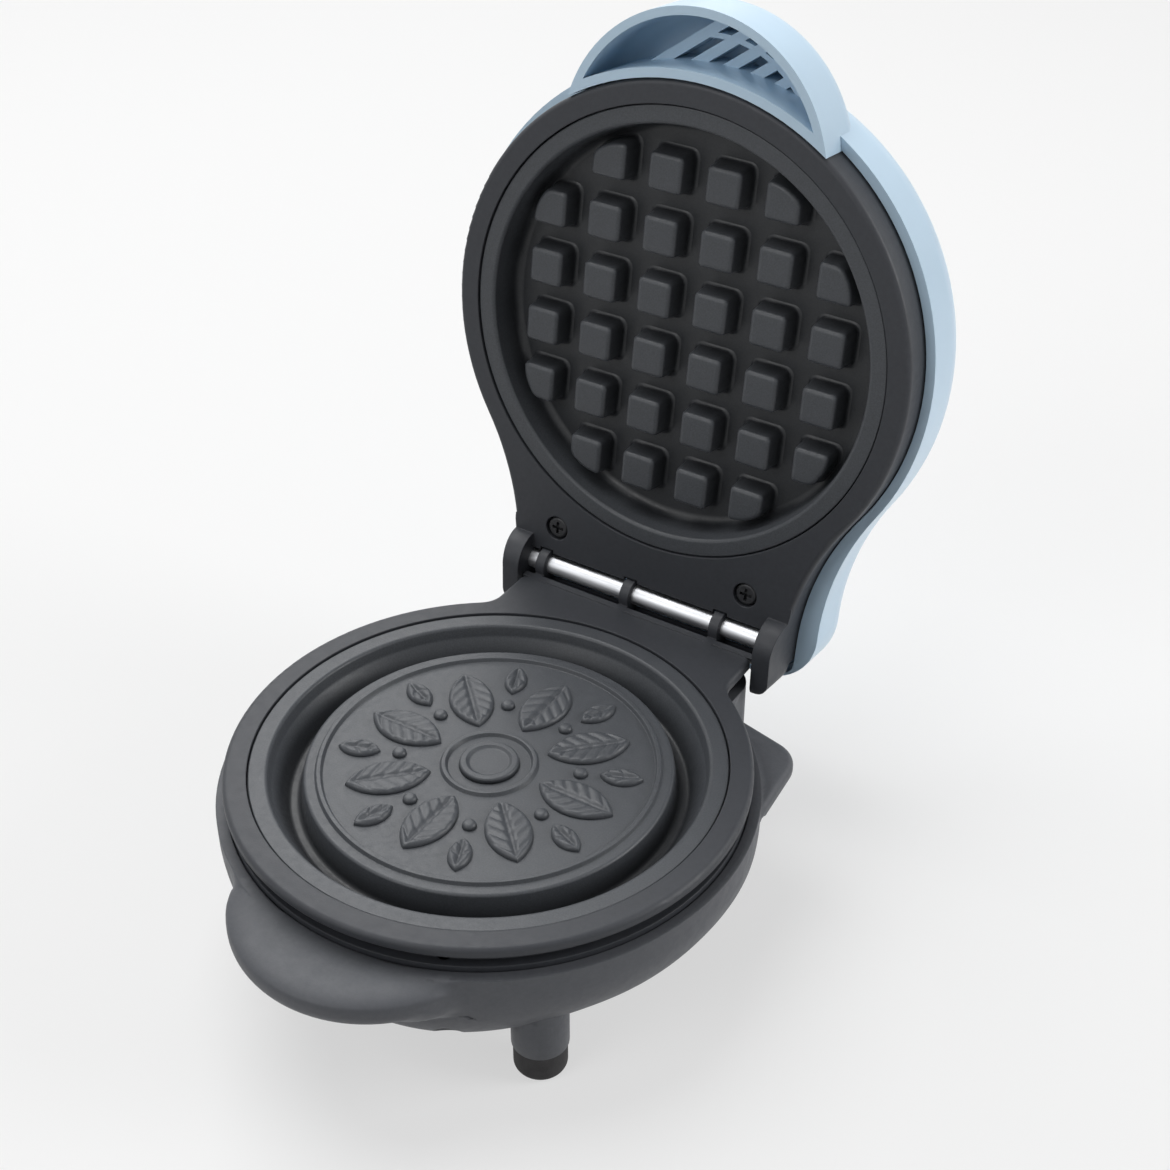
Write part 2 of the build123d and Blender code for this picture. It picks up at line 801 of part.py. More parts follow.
def make_lamp():
    z = lid_top - lid_wall - lens_flange_thickness - lamp_radius
    lamp = Rot(90, 0, 0) * Cylinder(lamp_radius, lamp_length)
    return Pos(*lens_place, z) * fillet(lamp.edges(), lamp_radius * 0.8)


def make_thermostat():
    low = pocket_ceiling - thermostat_height
    body = disc(thermostat_radius, low, pocket_ceiling)
    half_width = thermostat_tab_width / 2
    half_thick = thermostat_tab_thickness / 2
    for side in (-1, 1):
        x = side * thermostat_tab_place
        body += block(x - half_thick, x + half_thick, -half_width, half_width, -thermostat_tab_end, low + 1)
    return body


def make_terminal_block():
    width, depth, height = block_size
    low = floor_height + wall
    return block(-width / 2, width / 2, block_place - depth / 2, block_place + depth / 2, low, low + height)


def wire(points, bend):
    path = FilletPolyline(*points, radius=bend)
    start = Plane(origin=path @ 0, z_dir=path % 0)
    return sweep(start * Circle(wire_radius), path)


def fuse_span():
    """Where the fuse starts and ends along Y, short of the element's ends."""
    end = element_ends()[0][1] - fuse_setback
    return end - fuse_length, end


def base_leads():
    """The wires inside the base, end to end between the block, thermostat, fuse and element."""
    x_end, y_end = element_ends()[0]
    front = block_place - block_size[1] / 2
    pin = parting_height + pin_low
    tab_low = parting_height - thermostat_tab_end
    tab = thermostat_tab_place
    low = floor_height + lead_rise
    high = floor_height + link_rise
    fuse_start, fuse_end = fuse_span()
    live = [(-tab, front, low), (-tab, 0, low), (-tab, 0, tab_low)]
    neutral = [(x_end, front, low), (x_end, y_end, low), (x_end, y_end, pin)]
    link = [(tab, 0, tab_low), (tab, 0, high), (-x_end, fuse_start - link_run, high), (-x_end, fuse_start, high)]
    return {
        "base_lead_live": wire(live, lead_bend),
        "base_lead_neutral": wire(neutral, lead_bend),
        "base_lead_link": wire(link, link_bend),
        "base_lead_fuse": wire([(-x_end, fuse_end, high), (-x_end, y_end, high), (-x_end, y_end, pin)], link_bend),
    }


def make_fuse():
    start, end = fuse_span()
    body = Rot(90, 0, 0) * Cylinder(fuse_radius, end - start)
    return Pos(-element_ends()[0][0], (start + end) / 2, floor_height + link_rise) * body


def lid_leads():
    """Two wires that lie on the element's pins and run to the neck, drawn closed."""
    x_end, y_end = element_ends()[0]
    height = lid_face - pin_low + wire_radius
    bend_y = hinge_y - lid_lead_bend_reach
    end_y = hinge_y - lid_lead_end_reach
    leads = {}
    for name, side in (("lid_lead_left", -1), ("lid_lead_right", 1)):
        x = side * x_end
        run = [(x, y_end - lid_lead_start, height), (x, bend_y, height), (x, end_y, height - lid_lead_fall)]
        leads[name] = wire(run, lid_lead_bend)
    return leads


def as_group(pieces):
    return Compound(children=list(pieces))


def main():
    os.makedirs("parts", exist_ok=True)
    nodes = {
        "base_shell": make_base_shell(),
        "base_trim": make_base_trim(),
        "lower_plate": on_base(make_lower_plate()),
        "lower_element": on_base(make_element()),
        "lower_insulators": on_base(as_group(make_insulators())),
        "lower_terminals": on_base(as_group(make_terminals())),
        "lower_heat_shield": on_base(make_shield(slot=True)),
        "lower_plate_screws": on_base(as_group(plate_screws())),
        "thermostat": on_base(make_thermostat()),
        "thermal_fuse": make_fuse(),
        "terminal_block": make_terminal_block(),
        "base_screws": as_group(base_screws()),
        "hinge_pin": make_pin(),
        "cord_gland": make_gland(),
        "lid_shell": opened(make_lid_shell()),
        "lid_trim": opened(make_lid_trim()),
        "upper_plate": in_lid(make_upper_plate()),
        "upper_element": in_lid(make_element()),
        "upper_insulators": in_lid(as_group(make_insulators())),
        "upper_terminals": in_lid(as_group(make_terminals())),
        "upper_heat_shield": in_lid(make_shield(slot=False)),
        "upper_plate_screws": in_lid(as_group(plate_screws())),
        "lid_screws": opened(as_group(lid_screws())),
        "indicator_lens": opened(make_lens()),
        "indicator_lamp": opened(make_lamp()),
    }
    nodes.update(base_leads())
    nodes.update({name: opened(shape) for name, shape in lid_leads().items()})
    nodes.update({name: foot(x, y) for name, (x, y) in foot_points().items()})
    for name, shape in nodes.items():
        export_step(shape, f"parts/{name}.step")


main()
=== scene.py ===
"""The looks of an open mini waffle maker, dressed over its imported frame.

Blender's objects are in metres. The plates' drawings and the changes to the base's moulding are
worked in millimetres, as in the CAD.
"""

import math

import bmesh
import bpy
from mathutils import Matrix, Vector

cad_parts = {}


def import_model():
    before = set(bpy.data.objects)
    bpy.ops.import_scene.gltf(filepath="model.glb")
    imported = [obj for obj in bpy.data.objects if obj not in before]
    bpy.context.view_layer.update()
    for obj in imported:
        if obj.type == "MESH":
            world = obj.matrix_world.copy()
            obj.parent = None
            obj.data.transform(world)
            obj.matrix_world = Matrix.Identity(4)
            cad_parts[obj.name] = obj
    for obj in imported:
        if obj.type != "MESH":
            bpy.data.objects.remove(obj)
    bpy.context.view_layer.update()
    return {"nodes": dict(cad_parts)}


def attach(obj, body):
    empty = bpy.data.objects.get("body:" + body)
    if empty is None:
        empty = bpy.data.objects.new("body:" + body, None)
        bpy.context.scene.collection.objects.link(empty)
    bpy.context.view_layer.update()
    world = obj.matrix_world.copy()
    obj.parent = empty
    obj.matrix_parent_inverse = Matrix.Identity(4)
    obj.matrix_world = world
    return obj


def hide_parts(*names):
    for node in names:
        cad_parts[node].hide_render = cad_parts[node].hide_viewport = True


MM = 0.001

# Camera, fitted to the photograph
CAMERA_PLACE = Vector((0.20156, -0.27816, 0.33911))
CAMERA_RIGHT = Vector((0.8453, 0.5344, 0.0))
CAMERA_BACK = Vector((0.4340, -0.6864, 0.5835))
CAMERA_LENS = 61.14
CAMERA_SENSOR = 36
CAMERA_NEAR = 0.01

# Light: each lamp's name, place, size and power
WORLD_LIGHT = 0.15
FLOOR_SIZE = 12
FLOOR_COLOUR = (0.74, 0.74, 0.74)
FLOOR_SHARE = 0.56
LAMP_TARGET = (0, 0.02, 0.06)
LAMPS = (
    ("overhead", (-0.45, 0.20, 1.00), 0.9, 9),
    ("right", (1.1, 0.60, 0.60), 0.7, 9),
    ("front", (-0.35, -1.10, 0.95), 0.8, 5),
    ("sheen", (-0.70, 1.05, 0.90), 0.8, 3.5),
)
WHITE_RAYS = ("Is Camera Ray", "Is Glossy Ray", "Is Transmission Ray")

# Finishes, as linear colours
CHARCOAL = (0.040, 0.043, 0.050)
BOWL_GREY = (0.080, 0.084, 0.094)
COATING = (0.060, 0.065, 0.073)
PALE_BLUE = (0.51, 0.67, 0.81)
RUBBER = (0.022, 0.021, 0.022)
STEEL = (0.52, 0.53, 0.55)
SHEET = (0.70, 0.70, 0.71)
DULL_STEEL = (0.42, 0.42, 0.43)
DARK_STEEL = (0.030, 0.031, 0.034)
BISQUE = (0.72, 0.69, 0.61)
SLEEVE = (0.62, 0.60, 0.54)
LENS_RED = (0.55, 0.05, 0.02)
LAMP_GLOW = (0.85, 0.55, 0.40)

# Painted shade: the coat is darkened in the plates' depths, where their recesses fall into shade, by a
# measure in millimetres kept on their meshes
DEPTH = "depth"
PAINTED_SHADE_START = 3.2
PAINTED_SHADE_END = 8.6
PAINTED_SHADE_LEAST = 0.42

# The joint, as in the CAD
PARTING = 45.0
LID_FACE = 45.5
HINGE_Y = 69.5
HINGE_Z = 46.5
OPEN_ANGLE = 97.9

# The castings of both plates, after the CAD: heights are below the plate's face
LIP_RADIUS = 54.3
LIP_RECESS = 0.4
LIP_UNDER = 2.4
WELL_RADIUS = 50.0
WELL_MOUTH = 50.06
WELL_DEPTH = 9.0
WELL_DRAFT = 1.2
WELL_ROUND = 2.2
WALL_RADIUS = 51.2
PLATE_BACK = 11.3
BED_INNER = 28.8
BED_OUTER = 39.2
BED_HEIGHT = 2.6
BED_ROUND = 0.4
ELEMENT_RADIUS = 34.0
GROOVE_RADIUS = 3.4
GROOVE_SINK = 0.6
STUD_ANGLES = (30, 150, 270)
STUD_PLACE = 20.0
STUD_RADIUS = 4.0
STUD_END = 17.5
STUD_SINK = 0.4
PILOT_RADIUS = 1.51
PILOT_SINK = 3.0

# The lower plate: its disc, the moat's sloping wall, and the pocket in its back
DISC_RADIUS = 42.0
DISC_TOP = 2.3
DISC_ROUND = 0.9
POCKET_TOP = 6.3
MOAT_ROUND = 1.2
MOAT_FOOT = 45.6
MOAT_SHOULDER = 49.2
MOAT_SLOPE = 3.2

# The upper plate's grid: its posts, how the rim clips them, and how far a clipped one's middle moves in
GRID_PITCH = 15.0
POST_WIDTH = 9.8
POST_DRAFT = math.radians(5.5)
POST_TOP = 3.0
POST_CORNER = 1.5
POST_ROUND = 1.1
POST_ROOT = 1.0
POST_BLEND = 1.4
POST_LIMIT = 47.6
POST_MARGIN = 2.4
POST_SHIFT = 0.03
POST_SHIFT_FROM = 30.0

# The ornament on the disc: leaves are given as (place, length, width)
RELIEF = 1.3
LEAF_COUNT = 8
LARGE_LEAF = (23.2, 19.5, 10.6)
SMALL_LEAF = (30.4, 10.0, 5.4)
LEAF_EDGE = 1.0
TIP_FADE = 3.0
RIB_DEPTH = 0.75
RIB_WIDTH = 0.5
VEIN_DEPTH = 0.38
VEIN_WIDTH = 0.38
VEIN_PITCH = 3.2
VEIN_SLANT = 0.9
VEIN_START = 0.6
BEAD_PLACE = 21.0
BEAD_RADIUS = 1.7
BUTTON_RADIUS = 7.0
BUTTON_DISH = (4.6, 0.7)
BUTTON_RIM = 5.3
RING_PLACES = (10.4, 38.6)
RING_HALF = 0.9
RING_RISE = 0.9
RING_ROUND = 0.2
SUNK = 0.05

# How finely the castings are drawn
ARC_STEP = math.radians(15)
PLATE_SEGMENTS = 192
SMALL_SEGMENTS = 48
BEAD_SEGMENTS = 24
POST_SEGMENTS = 48
POST_HALVINGS = 22
GROOVE_STEPS = 14
LEAF_STEPS = 60
LEAF_ROWS = 30

# The base's moulding, as in the CAD: its feet and screws are also on the other side
BOWL_RADIUS = 62.0
BOWL_FLOOR = 8.0
BOWL_ROUND = 18.0
RIM_HEIGHT = 39.9
HEEL_SIDE = 33.2
FRONT_FEET = ((36.99, -35.97),)
BASE_SCREWS = ((52.72, 19.19), (23.71, -50.84))
SCREW_TIP = 32.5

# Where the heel's own zone starts, and how far the zones round a foot and a screw reach
HEEL_ZONE = 17.0
FOOT_ZONE = 6.6
SCREW_ZONE = 4.8

# How the slimmer bowl differs from it: its section turns about a point SLIM_ROUND in from the wall
SLIM_ROUND = 26.0
SECTION_RADIUS = BOWL_RADIUS - SLIM_ROUND
SECTION_HEIGHT = BOWL_FLOOR + SLIM_ROUND
TAPER = 0.04
FRONT_HOLD = 0.45
FRONT_BAND = (-75, -30)
REAR_BAND = (-8, 42)
HANDLE_HOLD = 7.0
HANDLE_ROOT = 6.0
HANDLE_LIFT = 0.28
RIM_DROP = 1.8
RIM_BAND = 3.6
SCREW_SHARE = 0.79
SCREW_FREE = 7.0
SECTION_HALVINGS = 30

# How near a point is still taken as on a surface: the section's is a share of its reach
NEAR_SIDE = 0.3
NEAR_MOUTH = 0.9
NEAR_WALL = 0.2
NEAR_MIDDLE = 0.01
NEAR_SECTION = 0.03

# How the nodes' copies are welded and divided, and how the bowl's joint with its handle is smoothed
WELD = 0.001
FINE_EDGE = 2.2
FINE_REAR = 45
FINE_RADIUS = 40
FINE_TOP = 38
HALVINGS = 7
JOINT_BAND = 0.4
JOINT_REAR = -30
JOINT_ANGLE = math.radians(12)
JOINT_SPREAD = 4
JOINT_PASSES = 24
JOINT_TOP = 0.5
SHARP = math.radians(32)


class Finish:
    """A node material with a few short-hands for the textures that the pieces share."""

    def __init__(self, name):
        self.material = bpy.data.materials.new(name)
        self.material.use_nodes = True
        self.tree = self.material.node_tree
        self.shader = self.tree.nodes["Principled BSDF"]
        self.place = self.tree.nodes.new("ShaderNodeTexCoord").outputs["Object"]

    def node(self, kind, **values):
        made = self.tree.nodes.new(kind)
        for key, value in values.items():
            setattr(made, key, value)
        return made

    def link(self, source, target):
        self.tree.links.new(source, target)

    def fix(self, **values):
        """Set plain numbers on the shader's sockets, with a low line for each space in their names."""
        for key, value in values.items():
            self.shader.inputs[key.replace("_", " ")].default_value = value

    def noise(self, scale, detail=2.0, roughness=0.5, stretch=None):
        made = self.node("ShaderNodeTexNoise")
        made.inputs["Scale"].default_value = scale
        made.inputs["Detail"].default_value = detail
        made.inputs["Roughness"].default_value = roughness
        place = self.place
        if stretch:
            mapping = self.node("ShaderNodeMapping")
            mapping.inputs["Scale"].default_value = stretch
            self.link(place, mapping.inputs["Vector"])
            place = mapping.outputs["Vector"]
        self.link(place, made.inputs["Vector"])
        return made.outputs["Fac"]

    def spread(self, source, low, high, start=0.3, end=0.7):
        """Carry a value from one range to another, held at the ends."""
        made = self.node("ShaderNodeMapRange")
        made.inputs["From Min"].default_value = start
        made.inputs["From Max"].default_value = end
        made.inputs["To Min"].default_value = low
        made.inputs["To Max"].default_value = high
        self.link(source, made.inputs["Value"])
        return made.outputs["Result"]

    def mottle(self, colour, scale, depth, **noise):
        """Vary the colour's brightness gently either side of its own."""
        made = self.node("ShaderNodeMix", data_type="RGBA")
        made.inputs["A"].default_value = (*[c * (1 - depth) for c in colour], 1)
        made.inputs["B"].default_value = (*[min(1, c * (1 + depth)) for c in colour], 1)
        self.link(self.spread(self.noise(scale, **noise), 0, 1), made.inputs["Factor"])
        self.link(made.outputs["Result"], self.shader.inputs["Base Color"])

    def darken(self, measure, start, end, least):
        """Darken the base colour by a measure kept on the mesh, from none at the start to the least."""
        colour = self.shader.inputs["Base Color"]
        stored = self.node("ShaderNodeAttribute", attribute_name=measure).outputs["Fac"]
        made = self.node("ShaderNodeMix", data_type="RGBA", blend_type="MULTIPLY")
        made.inputs["Factor"].default_value = 1
        self.link(colour.links[0].from_socket, made.inputs["A"])
        self.link(self.spread(stored, 1, least, start, end), made.inputs["B"])
        self.link(made.outputs["Result"], colour)

    def roughness(self, low, high, scale, **noise):
        self.link(self.spread(self.noise(scale, **noise), low, high), self.shader.inputs["Roughness"])

    def soft_edges(self, radius):
        """Break the sharp arrises with a small highlight, as a moulding's edges have."""
        made = self.node("ShaderNodeBevel", samples=6)
        made.inputs["Radius"].default_value = radius
        return made.outputs["Normal"]

    def grain(self, height, strength, distance, normal=None):
        bump = self.node("ShaderNodeBump")
        bump.inputs["Strength"].default_value = strength
        bump.inputs["Distance"].default_value = distance
        self.link(height, bump.inputs["Height"])
        if normal:
            self.link(normal, bump.inputs["Normal"])
        self.link(bump.outputs["Normal"], self.shader.inputs["Normal"])
        return bump.outputs["Normal"]


def moulded(name, colour, rough):
    """Satin moulded plastic: spark-eroded grain, faint flow mottling and uneven sheen."""
    finish = Finish(name)
    finish.mottle(colour, scale=900, depth=0.07, detail=4, roughness=0.65)
    finish.roughness(rough - 0.04, rough + 0.06, scale=400, detail=3)
    edges = finish.soft_edges(0.0004)
    finish.grain(finish.noise(2600, detail=2, roughness=0.6), strength=0.5, distance=0.00005, normal=edges)
    finish.fix(IOR=1.38)
    return finish.material


def gloss_moulding(name, colour):
    """Smooth pale moulding: a hint of orange peel under a soft gloss."""
    finish = Finish(name)
    finish.mottle(colour, scale=40, depth=0.012, detail=2)
    finish.roughness(0.31, 0.38, scale=160, detail=1)
    finish.grain(finish.noise(300, detail=1), strength=0.25, distance=0.00005)
    finish.fix(Coat_Weight=0.2, Coat_Roughness=0.12)
    return finish.material


def coated_casting(name, colour):
    """Cast aluminium under a sprayed non-stick coat: orange peel, fine flecks, a soft gloss and painted
    shade in its depths.
    """
    finish = Finish(name)
    finish.mottle(colour, scale=2600, depth=0.22, detail=4, roughness=0.7)
    # Painted shade: the coat darkens towards the floors of the wells and the moat, standing in for the
    # shade there
    finish.darken(DEPTH, PAINTED_SHADE_START, PAINTED_SHADE_END, PAINTED_SHADE_LEAST)
    finish.roughness(0.36, 0.50, scale=700, detail=3)
    peel = finish.grain(finish.noise(900, detail=2), strength=0.5, distance=0.00004)
    finish.grain(finish.noise(4200, detail=1), strength=0.3, distance=0.00002, normal=peel)
    finish.fix(IOR=1.42)
    return finish.material


def dull_rubber(name, colour):
    finish = Finish(name)
    finish.mottle(colour, scale=1200, depth=0.18, detail=3)
    finish.roughness(0.72, 0.88, scale=300)
    finish.grain(finish.noise(2600, detail=3), strength=0.6, distance=0.00008)
    return finish.material


def drawn_metal(name, colour, rough, stretch, metallic=1.0):
    """Metal with fine marks drawn along one axis."""
    finish = Finish(name)
    finish.mottle(colour, scale=900, depth=0.06, detail=3, stretch=stretch)
    finish.roughness(rough * 0.8, rough * 1.3, scale=1600, detail=3, stretch=stretch)
    finish.grain(finish.noise(3600, detail=2, stretch=stretch), strength=0.2, distance=0.00002)
    finish.fix(Metallic=metallic)
    return finish.material


def unglazed(name, colour):
    finish = Finish(name)
    finish.mottle(colour, scale=350, depth=0.08, detail=4)
    finish.roughness(0.7, 0.9, scale=200)
    finish.grain(finish.noise(1800, detail=3), strength=0.5, distance=0.00006)
    return finish.material


def clear_lens(name, colour):
    finish = Finish(name)
    finish.mottle(colour, scale=200, depth=0.12)
    finish.roughness(0.10, 0.18, scale=300)
    finish.grain(finish.noise(500), strength=0.1, distance=0.00003)
    finish.fix(Transmission_Weight=0.6)
    return finish.material


def neon_glass(name, colour):
    finish = Finish(name)
    finish.mottle(colour, scale=200, depth=0.1)
    finish.roughness(0.04, 0.10, scale=200)
    finish.fix(Transmission_Weight=0.8)
    return finish.material


def dress_nodes(nodes):
    """Give each CAD node the finish of its material slot, and the housing screws a blackened one."""
    finishes = {
        "base_plastic": moulded("base_plastic_looks", BOWL_GREY, 0.50),
        "trim_plastic": moulded("trim_plastic_looks", CHARCOAL, 0.48),
        "lid_plastic": gloss_moulding("lid_plastic_looks", PALE_BLUE),
        "coated_plate": coated_casting("coated_plate_looks", COATING),
        "foot_rubber": dull_rubber("foot_rubber_looks", RUBBER),
        "gland_rubber": dull_rubber("gland_rubber_looks", RUBBER),
        "pin_steel": drawn_metal("pin_steel_looks", STEEL, 0.42, (0.06, 1, 1)),
        "shield_metal": drawn_metal("shield_metal_looks", SHEET, 0.35, (1, 0.1, 1)),
        "ceramic": unglazed("ceramic_looks", BISQUE),
        "inner_steel": drawn_metal("inner_steel_looks", DULL_STEEL, 0.38, (1, 1, 0.2)),
        "wire_insulation": dull_rubber("wire_insulation_looks", SLEEVE),
        "lens": clear_lens("lens_looks", LENS_RED),
        "lamp_glass": neon_glass("lamp_glass_looks", LAMP_GLOW),
    }
    for node in nodes.values():
        for place in node.material_slots:
            place.material = finishes[place.material.name]
    blackened = drawn_metal("blackened_screw_looks", DARK_STEEL, 0.45, (1, 1, 1), metallic=0.3)
    for name in ("lid_screws", "base_screws"):
        nodes[name].material_slots[0].material = blackened
    return finishes


def last_held(condition, low, high, halvings):
    """Close in on the value between low and high up to which a condition holds."""
    for _ in range(halvings):
        middle = (low + high) / 2
        if condition(middle):
            low = middle
        else:
            high = middle
    return low


def smooth_step(start, end, value):
    """A smooth rise from 0 at the start to 1 at the end."""
    t = min(1, max(0, (value - start) / (end - start)))
    return t * t * (3 - 2 * t)


def filleted(corners):
    """Sample an open outline whose corners are (radius, height) or (radius, height, fillet)."""
    points = []
    for i, (r, z, *rest) in enumerate(corners):
        here = Vector((r, z))
        if not rest:
            points.append(here)
            continue
        back = (Vector(corners[i - 1][:2]) - here).normalized()
        ahead = (Vector(corners[i + 1][:2]) - here).normalized()
        half = back.angle(ahead) / 2
        centre = here + (back + ahead).normalized() * rest[0] / math.sin(half)
        first = here + back * rest[0] / math.tan(half) - centre
        turn = math.pi - 2 * half
        sense = 1 if back.x * ahead.y - back.y * ahead.x < 0 else -1
        steps = max(3, round(turn / ARC_STEP))
        for k in range(steps + 1):
            c = math.cos(sense * turn * k / steps)
            s = math.sin(sense * turn * k / steps)
            points.append(centre + Vector((first.x * c - first.y * s, first.x * s + first.y * c)))
    return points


def skin(mesh, rings):
    """Join closed rings of vertices, where a ring of one is a point."""
    for upper, lower in zip(rings, rings[1:]):
        for i in range(max(len(upper), len(lower))):
            corners = []
            for ring, at in ((upper, i), (upper, i + 1), (lower, i + 1), (lower, i)):
                vertex = ring[at % len(ring)]
                if vertex not in corners:
                    corners.append(vertex)
            mesh.faces.new(corners)


def lathe(mesh, outline, segments, x=0.0, y=0.0):
    """Turn an outline that starts and ends on the axis."""
    rings = []
    for point in outline:
        count = segments if point.x > 0 else 1
        ring = []
        for i in range(count):
            turn = 2 * math.pi * i / count
            place = (x + point.x * math.cos(turn), y + point.x * math.sin(turn), point.y)
            ring.append(mesh.verts.new(place))
        rings.append(ring)
    skin(mesh, rings)


def plate_outline(inside, backside):
    """Both plates' section, round from inside the well to the back, whose middles are their own."""
    bed_low = -PLATE_BACK - BED_HEIGHT
    dip = math.asin(GROOVE_SINK / GROOVE_RADIUS)
    groove = []
    for k in range(GROOVE_STEPS + 1):
        sweep = -dip + (math.pi + 2 * dip) * k / GROOVE_STEPS
        place = ELEMENT_RADIUS + GROOVE_RADIUS * math.cos(sweep)
        groove.append((place, bed_low + GROOVE_SINK + GROOVE_RADIUS * math.sin(sweep)))
    return filleted([
        *inside,
        (WELL_MOUTH, -LIP_RECESS, 1.0),
        (LIP_RADIUS, -LIP_RECESS, 0.35),
        (LIP_RADIUS, -LIP_UNDER),
        (WALL_RADIUS, -LIP_UNDER),
        (WALL_RADIUS, -PLATE_BACK, 0.5),
        (BED_OUTER, -PLATE_BACK),
        (BED_OUTER, bed_low, BED_ROUND),
        *groove,
        (BED_INNER, bed_low, BED_ROUND),
        *backside,
    ])


def add_studs(mesh, back):
    """The three bosses on a plate's back, each with the pilot hole of its screw."""
    high = back + STUD_SINK
    outline = filleted([
        (0, high),
        (STUD_RADIUS, high),
        (STUD_RADIUS, -STUD_END, 0.3),
        (PILOT_RADIUS, -STUD_END),
        (PILOT_RADIUS, high - PILOT_SINK),
        (0, high - PILOT_SINK),
    ])
    for angle in STUD_ANGLES:
        turn = math.radians(angle)
        lathe(mesh, outline, SMALL_SEGMENTS, STUD_PLACE * math.cos(turn), STUD_PLACE * math.sin(turn))


def post_reach(x, y, centre):
    """How far a point lies outside a post's outline at the floor."""
    core = POST_WIDTH / 2 - POST_CORNER
    across = abs(x - centre[0]) - core
    along = abs(y - centre[1]) - core
    square = math.hypot(max(across, 0), max(along, 0)) + min(max(across, along), 0) - POST_CORNER
    rim = math.hypot(x, y) - POST_LIMIT
    mix = max(POST_BLEND - abs(square - rim), 0) / POST_BLEND
    return max(square, rim) + mix * mix * POST_BLEND / 4


def post_span(x, y, turn, centre, level):
    """How far a post spans from a point inside it, in one direction and at one level of its side."""
    dx, dy = math.cos(turn), math.sin(turn)

    def within(span):
        return post_reach(x + dx * span, y + dy * span, centre) < level

    return last_held(within, 0.0, POST_WIDTH, POST_HALVINGS)


def add_post(mesh, centre):
    """A drafted post with rounded corners, a rounded top and a fillet into the floor."""
    height = WELL_DEPTH - POST_TOP
    lean = height * math.tan(POST_DRAFT)
    run_in = (3, 0)
    run_out = (-lean - 2.4, height)
    section = filleted([run_in, (0, 0, POST_ROOT), (-lean, height, POST_ROUND), run_out])[1:]
    shift = POST_SHIFT * max(0, math.hypot(*centre) - POST_SHIFT_FROM) / POST_SHIFT_FROM
    x, y = (place * (1 - shift) for place in centre)
    rings = [[mesh.verts.new((x, y, -WELL_DEPTH - 6 * SUNK))]]
    for level, lift in section:
        z = lift - WELL_DEPTH - (SUNK if lift == 0 else 0)
        ring = []
        for k in range(POST_SEGMENTS):
            turn = 2 * math.pi * (k + 0.5) / POST_SEGMENTS
            span = post_span(x, y, turn, centre, level)
            ring.append(mesh.verts.new((x + math.cos(turn) * span, y + math.sin(turn) * span, z)))
        rings.append(ring)
    rings.append([mesh.verts.new((x, y, -POST_TOP))])
    skin(mesh, rings)


def post_centres():
    """The grid's posts, without those that the rim would leave as slivers."""
    places = [GRID_PITCH * (i + 0.5) for i in range(-3, 3)]
    half = POST_WIDTH / 2
    for x in places:
        for y in places:
            if math.hypot(abs(x) - half, abs(y) - half) <= POST_LIMIT - POST_MARGIN:
                yield x, y


def leaf_bow(length, width):
    """The radius of a leaf's two sides."""
    return (length ** 2 + width ** 2) / (4 * width)


def leaf_height(along, across, length, width):
    """A leaf's rise: a rounded edge, a sunk midrib and slanting veins that fade at both ends."""
    bow = leaf_bow(length, width)
    inside = bow - math.hypot(along, abs(across) + bow - width / 2)
    edge = min(1, max(0, inside) / LEAF_EDGE)
    if not edge:
        return -SUNK
    fade = min(1, max(0, length / 2 - abs(along)) / TIP_FADE)
    rib = RIB_DEPTH * fade * math.exp(-(across / RIB_WIDTH) ** 2)
    off_vein = (along + VEIN_SLANT * abs(across) + length) % VEIN_PITCH - VEIN_PITCH / 2
    vein = VEIN_DEPTH * edge * fade * math.exp(-(off_vein / VEIN_WIDTH) ** 2)
    vein *= min(1, abs(across) / VEIN_START)
    return max(-SUNK, RELIEF * math.sqrt(1 - (1 - edge) ** 2) - rib - vein)


def add_leaf(mesh, turn, place, length, width):
    """One leaf of the wheel, drawn along its length between its two tips."""
    bow = leaf_bow(length, width)
    c, s = math.cos(turn), math.sin(turn)

    def vertex(along, across, lift):
        x = place + along
        return mesh.verts.new((x * c - across * s, x * s + across * c, lift - DISC_TOP))

    rows = [[vertex(-length / 2, 0, -SUNK)]]
    for i in range(1, LEAF_STEPS):
        along = -length / 2 * math.cos(math.pi * i / LEAF_STEPS)
        half = math.sqrt(bow ** 2 - along ** 2) - bow + width / 2
        row = []
        for j in range(LEAF_ROWS + 1):
            across = -half * math.cos(math.pi * j / LEAF_ROWS)
            lift = leaf_height(along, across, length, width) if 0 < j < LEAF_ROWS else -SUNK
            row.append(vertex(along, across, lift))
        rows.append(row)
    rows.append([vertex(length / 2, 0, -SUNK)])
    for first, second in zip(rows, rows[1:]):
        for j in range(LEAF_ROWS):
            corners = []
            for row, at in ((first, j), (second, j), (second, j + 1), (first, j + 1)):
                corner = row[min(at, len(row) - 1)]
                if corner not in corners:
                    corners.append(corner)
            mesh.faces.new(corners)
    mesh.faces.new([row[0] for row in rows] + [row[-1] for row in rows[-2:0:-1]])


def on_disc(corners):
    """An outline for the lathe, whose heights are above the disc."""
    return [point - Vector((0, DISC_TOP)) for point in filleted(corners)]


def add_relief(mesh):
    """Generic raised ornament: leaves in a wheel, a dished button and a ring of beads."""
    button = on_disc([
        (0, BUTTON_DISH[1]),
        (*BUTTON_DISH, 0.8),
        (BUTTON_RIM, RELIEF, 0.3),
        (BUTTON_RADIUS - 0.3, RELIEF, 0.6),
        (BUTTON_RADIUS, -SUNK),
        (0, -SUNK),
    ])
    lathe(mesh, button, SMALL_SEGMENTS)
    bead = on_disc([(0, RELIEF), (BEAD_RADIUS - 0.2, RELIEF, 1.0), (BEAD_RADIUS, -SUNK), (0, -SUNK)])
    step = 2 * math.pi / LEAF_COUNT
    for i in range(LEAF_COUNT):
        between = step * (i + 0.5)
        add_leaf(mesh, step * i, *LARGE_LEAF)
        add_leaf(mesh, between, *SMALL_LEAF)
        lathe(mesh, bead, BEAD_SEGMENTS, BEAD_PLACE * math.cos(between), BEAD_PLACE * math.sin(between))


